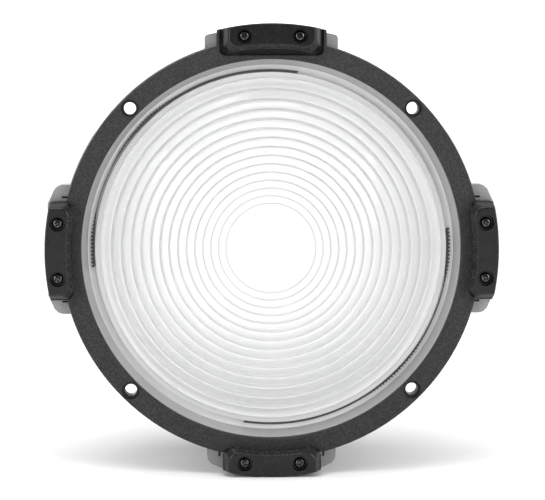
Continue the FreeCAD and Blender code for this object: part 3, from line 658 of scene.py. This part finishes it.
def ear_boss(foot_z):
    """A post round one screw of the top ear, down to the latch slide."""
    top = foot_z + 1
    return lathe("boss", rounded([(0, BOSS_END_Z, 0), (BOSS_R, BOSS_END_Z, 0.3), (BOSS_R, top, 0),
                                  (0, top, 0)]), 48)


def ear_bore():
    """The tool that cuts a screw hole, the hole for its head and the eased mouth."""
    return lathe("bore", [(0, CUT_BACK_Z), (SCREW_HOLE_R, CUT_BACK_Z), (SCREW_HOLE_R, EAR_HEAD_SEAT_Z),
                          (HEAD_HOLE_R - 0.2, EAR_HEAD_SEAT_Z), (HEAD_HOLE_R, EAR_HEAD_SEAT_Z + 0.2),
                          (HEAD_HOLE_R, EAR_FRONT_Z - 0.45), (HEAD_HOLE_R + 0.1, EAR_FRONT_Z - 0.2),
                          (HEAD_HOLE_R + 0.5, EAR_FRONT_Z + 0.1), (HEAD_HOLE_R + 0.5, CUT_FRONT_Z),
                          (0, CUT_FRONT_Z)], 56)


def ear_piece(name, angle, foot_z, bosses=False):
    block = fuse(ear_head(name), ear_foot(foot_z))
    if bosses:
        for t in (-EAR_SCREW_T, EAR_SCREW_T):
            block = fuse(block, shift(ear_boss(foot_z), t, EAR_SCREW_N, 0))
    for t in (-EAR_SCREW_T, EAR_SCREW_T):
        block = cut(block, shift(ear_bore(), t, EAR_SCREW_N, 0))
    return spin(block, angle)


def ear_pieces():
    for side, angle in SIDE_EARS:
        ear = ear_piece(f"ear_{side}_block", angle, FLANGE_FRONT_Z)
        finish_piece(ear, "black_ear", "lens_barrel", [f"ear_{side}"])
    cap = ear_piece("latch_cap_block", 0, POCKET_Z + LATCH_CAP_GAP, True)
    finish_piece(cap, "black_ear", "top_latch", ["latch_cap"])


# ---- screws --------------------------------------------------------------------------------------
SCREW_HEAD_R = 3.75
SCREW_HEAD_H = 2.7
SCREW_SHANK_R = 2.0
EAR_SCREW_LENGTH = 25.0
LATCH_SCREW_LENGTH = 29.2
# the head's outline as shares of its radius and its height
HEAD_DOME = ((1.0, 0.3), (0.985, 0.48), (0.92, 0.68), (0.78, 0.86), (0.55, 0.97), (0.28, 1.0))
# half the length and half the width of a wing of the cross, and how far they taper to its bottom
WING_HALF_LENGTH = 0.6
WING_HALF_WIDTH = 0.13
WING_DEPTH = 0.75
LENGTH_TAPER = 0.45
WIDTH_TAPER = 0.7


def cross_screw(length, turn):
    """Pan-head screw with a domed head and a cross recess with tapered wings; the seat is at height 0."""
    r, h, shank = SCREW_HEAD_R, SCREW_HEAD_H, SCREW_SHANK_R
    profile = [(0, -length), (shank * 0.8, -length), (shank, -length + shank * 0.3), (shank, 0),
               (r * 0.96, 0), (r, h * 0.06)]
    profile += [(r * out, h * up) for out, up in HEAD_DOME] + [(0, h)]
    screw = lathe("screw", profile, 48)
    long, wide = r * WING_HALF_LENGTH, r * WING_HALF_WIDTH
    wings = ((long, wide, LENGTH_TAPER, WIDTH_TAPER), (wide, long, WIDTH_TAPER, LENGTH_TAPER))
    for a, b, a_taper, b_taper in wings:
        square = [(a * x, b * y) for x, y in ((-1, -1), (1, -1), (1, 1), (-1, 1))]
        foot = [(x * a_taper, y * b_taper, h - h * WING_DEPTH) for x, y in square]
        mouth = [(x, y, h + 0.5) for x, y in square]
        screw = cut(screw, loft("wing", [foot, mouth]))
    return spin(screw, turn)


def ear_screw_places(angle):
    """Where the two screws of the ear at an angle from the top sit."""
    a = math.radians(angle)
    return [(t * math.cos(a) - EAR_SCREW_N * math.sin(a), t * math.sin(a) + EAR_SCREW_N * math.cos(a),
             EAR_HEAD_SEAT_Z) for t in (-EAR_SCREW_T, EAR_SCREW_T)]


def screw_pair(name, angle, length, body, node):
    """The two screws of one ear; each head is turned its own way."""
    screws = []
    for i, place in enumerate(ear_screw_places(angle)):
        screws.append(shift(cross_screw(length, turn=i * 37.0 + 21.0), *place))
    finish_piece(join(name, screws), "dark_screw", body, [node], crease=28)


def all_screws():
    for side, angle in SIDE_EARS:
        screw_pair(f"screws_{side}", angle, EAR_SCREW_LENGTH, "lens_barrel", f"ear_screws_{side}")
    screw_pair("screws_latch", 0, LATCH_SCREW_LENGTH, "top_latch", "latch_screws")


# ---- front ring ----------------------------------------------------------------------------------
RING_R = 140.5
HOLE_PCD_R = 133.4
HOLE_R = 4.1
COUNTERBORE_R = 5.65
COUNTERBORE_DEPTH = 4.0
HOLE_ANGLES = (45, 135, 225, 315)
PAD_HALF = 36.6
PAD_BACK_GAP = 0.01
POCKET_HALF = 34.4
POCKET_INNER_Y = 129.8
SLOT_HALF = 4.55
SLOT_CORNER = 4.4
SLOT_INNER_Y = 138.0
SLOT_OUTER_Y = 154.2
EAR_FIT = 0.3
SLIVER = 0.004


def outline_loft(name, outline, levels):
    """A prism of an outline, shrunk towards its middle by the inset of each (height, inset) level."""
    centre = Vector((sum(x for x, y in outline) / len(outline), sum(y for x, y in outline) / len(outline)))
    rings = []
    for z, inset in levels:
        ring = []
        for i, (x, y) in enumerate(outline):
            before = Vector(outline[i - 1]) - Vector((x, y))
            after = Vector(outline[(i + 1) % len(outline)]) - Vector((x, y))
            along = (after.normalized() - before.normalized()).normalized()
            normal = Vector((along.y, -along.x))
            if normal.dot(centre - Vector((x, y))) > 0:
                normal = -normal
            ring.append((x - normal.x * inset, y - normal.y * inset, z))
        rings.append(ring)
    return loft(name, rings)


def hole_cutter(angle):
    """The tool that cuts one through hole with its counterbore."""
    mouth = RING_FRONT_Z - COUNTERBORE_DEPTH
    profile = [(0, CUT_BACK_Z), (HOLE_R, CUT_BACK_Z), (HOLE_R, mouth - 0.3), (HOLE_R + 0.3, mouth),
               (COUNTERBORE_R - 0.2, mouth), (COUNTERBORE_R, mouth + 0.2),
               (COUNTERBORE_R, RING_FRONT_Z - 0.5), (COUNTERBORE_R + 0.12, RING_FRONT_Z - 0.2),
               (COUNTERBORE_R + 0.5, RING_FRONT_Z + 0.1), (COUNTERBORE_R + 0.5, CUT_FRONT_Z),
               (0, CUT_FRONT_Z)]
    return spin(shift(lathe("hole", profile, 64), HOLE_PCD_R, 0, 0), angle)


def latch_pad():
    """The thicker part of the ring round the top ear, cut to the ring's bore."""
    outline = rounded([(-PAD_HALF, 128.5, 0), (PAD_HALF, 128.5, 0), (PAD_HALF, 146.6, 1.2), (20, 149.4, 8),
                       (0, 150.4, 20), (-20, 149.4, 8), (-PAD_HALF, 146.6, 1.2)])
    levels = [(FLANGE_FRONT_Z + PAD_BACK_GAP, 0.2), (FLANGE_FRONT_Z + 0.2, 0), (RING_FRONT_Z - 0.7, 0),
              (RING_FRONT_Z - 0.2, 0.2), (RING_FRONT_Z - 0.01, 0.7)]
    wall = RING_BORE_R + 1
    bore = lathe("bore", [(0, CUT_BACK_Z), (wall, CUT_BACK_Z), (wall, CUT_FRONT_Z), (0, CUT_FRONT_Z)], 360)
    return cut(outline_loft("pad", outline, levels), bore)


def pocket_cutter():
    """The tool for the pocket that the top ear sits in; it is open at the outside."""
    outline = rounded([(-POCKET_HALF, POCKET_INNER_Y, 3.2), (POCKET_HALF, POCKET_INNER_Y, 3.2),
                       (POCKET_HALF, 170, 0), (-POCKET_HALF, 170, 0)], 8)
    return outline_loft("pocket", outline, [(POCKET_Z, 0.25), (POCKET_Z + 0.25, 0), (RING_FRONT_Z - 0.5, 0),
                                            (RING_FRONT_Z - 0.2, -0.12), (RING_FRONT_Z + 0.1, -0.5),
                                            (CUT_FRONT_Z, -0.5)])


def screw_slot_cutter():
    """The tool for a slot that lets a post of the top ear move."""
    corners = [(-SLOT_HALF, SLOT_INNER_Y), (SLOT_HALF, SLOT_INNER_Y), (SLOT_HALF, SLOT_OUTER_Y),
               (-SLOT_HALF, SLOT_OUTER_Y)]
    slot = rounded([(x, y, SLOT_CORNER) for x, y in corners], 8)
    return outline_loft("slot", slot, [(CUT_BACK_Z, 0), (CUT_FRONT_Z, 0)])


def ear_space_cutter():
    """The tool for the notch that the foot of a fixed ear stands in."""
    return loft("foot_space", [ear_outline(z, EAR_HALF_BASE + EAR_FIT, EAR_SLOT_R - EAR_FIT, 160.0, 0.5, 0.5)
                               for z in (FLANGE_FRONT_Z - 1, CUT_FRONT_Z)])


def ring_piece():
    profile = rounded([(RING_BORE_R, FLANGE_FRONT_Z, 0.2), (RING_R, FLANGE_FRONT_Z, 0.3),
                       (RING_R, RING_FRONT_Z, 1.3), (RING_BORE_R, RING_FRONT_Z, 0.9)], 6)
    ring = fuse(lathe("ring_casting", profile, 360), latch_pad())
    ring = cut(ring, pocket_cutter())
    for t in (-EAR_SCREW_T, EAR_SCREW_T):
        ring = cut(ring, shift(screw_slot_cutter(), t, 0, 0))
    for side, angle in SIDE_EARS:
        ring = cut(ring, spin(ear_space_cutter(), angle))
    ring = cut(ring, *[hole_cutter(a) for a in HOLE_ANGLES])
    finish_piece(weld(ring, SLIVER), "black_ring", "lens_barrel", ["front_ring"])


# ---- pieces that keep the shape of a CAD node, with their edges rounded --------------------------
BODY_OF = {node: body for body, nodes in frame["record"]["behaviour"]["bodies"].items() for node in nodes}
SLOT_OF = {part["node"]: part["material_slot"] for part in frame["record"]["subparts"]}
# edges that turn by more than this many degrees are rounded
SHARP_FROM = 30.0
# node, width of the rounded edge in millimetres, and its segments
SOFTENED = (("lens_housing", 0.8, 3), ("rear_cover", 0.8, 3), ("scale_band", 0.3, 2), ("zoom_grip", 0.4, 2),
            ("bayonet_ring", 0.35, 2), ("zoom_retainer", 0.12, 1), ("latch_cover", 0.22, 2))


def softened(node, width, segments):
    """A copy of a CAD node whose sharp edges are rounded; it stands for the node."""
    piece = add_object(f"{node}_soft", NODES[node].data.copy())
    with editing(piece.data) as work:
        bmesh.ops.remove_doubles(work, verts=work.verts, dist=2e-6)
        bmesh.ops.dissolve_limit(work, angle_limit=math.radians(0.5), verts=work.verts, edges=work.edges)
    bevel = piece.modifiers.new("bevel", "BEVEL")
    bevel.width = width * MM
    bevel.segments = segments
    bevel.limit_method = "ANGLE"
    bevel.angle_limit = math.radians(SHARP_FROM)
    finish_piece(piece, SLOT_OF[node], BODY_OF[node], [node], crease=40)


# ---- trim ring and gasket ------------------------------------------------------------------------
TRIM_INNER_R = 123.2
TRIM_OUTER_R = 127.4
TRIM_STEP_Z = 229.2
TRIM_FIT = 0.1
GASKET_WALL = 1.3
GASKET_OUTER_R = 126.4
GASKET_BACK_R = 119.7
GASKET_FRONT_R = 123.4


def trim_ring():
    """The grey cone between the front ring and the glass."""
    back = LENS_RIM_Z + GASKET_WALL
    bore = LENS_BORE_R - TRIM_FIT
    profile = rounded([(TRIM_INNER_R, back, 0.3), (bore, back, 0.2), (bore, TRIM_STEP_Z, 0.2),
                       (TRIM_OUTER_R, TRIM_STEP_Z, 0.2), (TRIM_OUTER_R, FLANGE_FRONT_Z, 0.1),
                       (RING_BORE_R - TRIM_FIT, FLANGE_FRONT_Z, 0.3)], 4)
    trim = lathe("trim_cone", profile, 320)
    finish_piece(trim, "trim_grey", "lens_barrel", ["lens_retainer"])


def gasket():
    """The silicone channel round the rim of the glass."""
    back = LENS_BACK_Z - GASKET_WALL
    front = LENS_RIM_Z + GASKET_WALL
    profile = rounded([(GASKET_BACK_R, back, 0.3), (GASKET_OUTER_R, back, 0.3), (GASKET_OUTER_R, front, 0.3),
                       (GASKET_FRONT_R, front, 0.4), (GASKET_FRONT_R, LENS_RIM_Z, 0.1),
                       (LENS_R, LENS_RIM_Z, 0.1), (LENS_R, LENS_BACK_Z, 0.1),
                       (GASKET_BACK_R, LENS_BACK_Z, 0.2)], 4)
    channel = lathe("silicone_channel", profile, 256)
    finish_piece(channel, "white_silicone", "lens_barrel", ["lens_gasket"])


# ---- dark strips at the edge of the glass --------------------------------------------------------
STRIP_OUTER_R = 120.2
STRIP_HEIGHT = 2.2
STRIP_STARTS = (81.0, 261.0)
STRIP_SPAN = 106.0
TOOTH_PITCH = 1.2
# share of the strip's length, how wide its body is there, and how far its teeth reach out
STRIP_WIDTHS = ((0.0, 1.5, 0.0), (0.38, 1.5, 0.0), (0.48, 1.1, 0.9), (0.62, 0.45, 0.6), (0.7, 0.35, 0.0),
                (0.82, 0.35, 0.0), (0.9, 1.3, 1.1), (1.0, 1.3, 1.1))
# shares of the pitch at which a tooth starts, is whole, is last whole and ends
TOOTH_SHARES = (0.06, 0.2, 0.58, 0.72)


def strip_widths(share):
    """The body's width and the teeth's reach at one share of the strip's length."""
    for (start, *low), (end, *high) in zip(STRIP_WIDTHS, STRIP_WIDTHS[1:]):
        if share <= end:
            part = (share - start) / (end - start)
            return [a + (b - a) * part for a, b in zip(low, high)]
    return STRIP_WIDTHS[-1][1:]


def strip(start):
    """One strip from its start angle on, with eased top edges."""
    top = LENS_RIM_Z + STRIP_HEIGHT
    count = int(STRIP_SPAN / TOOTH_PITCH)
    outside = []
    inside = []
    for k in range(count):
        body, tooth = strip_widths(k / (count - 1))
        for share, reach in zip(TOOTH_SHARES, (0.0, tooth, tooth, 0.0)):
            outside.append((STRIP_OUTER_R + reach, start + (k + share) * TOOTH_PITCH))
        inside.append((STRIP_OUTER_R - body, start + (k + 0.4) * TOOTH_PITCH))
    rings = []
    for z, inset in ((LENS_RIM_Z, 0.0), (top - 0.15, 0.0), (top, 0.12)):
        edge = [(r - inset, a) for r, a in outside] + [(r + inset, a) for r, a in reversed(inside)]
        rings.append([(r * math.cos(math.radians(a)), r * math.sin(math.radians(a)), z) for r, a in edge])
    return loft("strip", rings)


def cushion_strips():
    """Strips that are whole at one end, then toothed, thin where the lip covers them, and toothed again."""
    strips = join("cushion_strips", [strip(start) for start in STRIP_STARTS])
    finish_piece(strips, "dark_rubber", "lens_barrel", ["lens_cushion_strips"])


# ---- scale on the turning band -------------------------------------------------------------------
BAND_R = 125.4
BAND_Z0 = 81.0
SCALE_TURN = 90.0
SCALE_STEPS = 10
MARK_WIDTH = 0.7
MARK_DEPTH = 0.16
LONG_MARK = 3.4
SHORT_MARK = 2.0
MARK_START = 0.5
NUMBER_HEIGHT = 4.4
NUMBER_RISE = 7.6
# height of a digit as a share of the font's size
DIGIT_SHARE = 0.69


def wrap_on_band(piece, angle, z):
    """Bend a flat mesh (x to the reader's right, y up, z out) round the band, at an angle from the top."""
    for v in piece.data.vertices:
        a = math.radians(angle) - v.co.x / BAND_R
        r = BAND_R + v.co.z
        v.co = to_row((r * math.sin(a), r * math.cos(a), z + v.co.y))
    return piece


def flat_number(text):
    """A number as a flat mesh in millimetres, centred on the origin."""
    curve = bpy.data.curves.new("number", "FONT")
    curve.body = text
    curve.size = NUMBER_HEIGHT / DIGIT_SHARE
    curve.align_x = "CENTER"
    curve.align_y = "CENTER"
    curve.extrude = MARK_DEPTH / 2
    letter = add_object("number", curve)
    mesh = evaluated_mesh(letter)
    bpy.data.objects.remove(letter)
    bpy.data.curves.remove(curve)
    return add_object("number", mesh)


def flat_bar(length):
    """A mark of the scale as a flat mesh in millimetres, centred on the origin."""
    x, y, z = MARK_WIDTH / 2, length / 2, MARK_DEPTH / 2
    bar = loft("bar", [[(-x, -y, side), (x, -y, side), (x, y, side), (-x, y, side)] for side in (-z, z)])
    for v in bar.data.vertices:
        v.co = (v.co.x / MM, v.co.z / MM, -v.co.y / MM)
    return bar


def scale_marks():
    """Painted marks and numbers that pass the pointer as the zoom ring turns."""
    marks = []
    for i in range(2 * SCALE_STEPS + 1):
        angle = SCALE_TURN * i / (2 * SCALE_STEPS)
        numbered = i % 2 == 0
        length = LONG_MARK if numbered else SHORT_MARK
        marks.append(wrap_on_band(flat_bar(length), angle, BAND_Z0 + MARK_START + length / 2))
        if numbered:
            marks.append(wrap_on_band(flat_number(str(i // 2)), angle, BAND_Z0 + NUMBER_RISE))
    finish_piece(join("scale_marks", marks), "white_mark", "zoom_control", [], crease=30)


# ---- assembly ------------------------------------------------------------------------------------
dress_cad_nodes()
lens_piece()
ear_pieces()
all_screws()
ring_piece()
trim_ring()
gasket()
cushion_strips()
scale_marks()
for node, width, segments in SOFTENED:
    softened(node, width, segments)

add_camera()
add_world()
add_floor()
for name, location, size, power in LIGHTS:
    add_area_light(name, location, size, power)
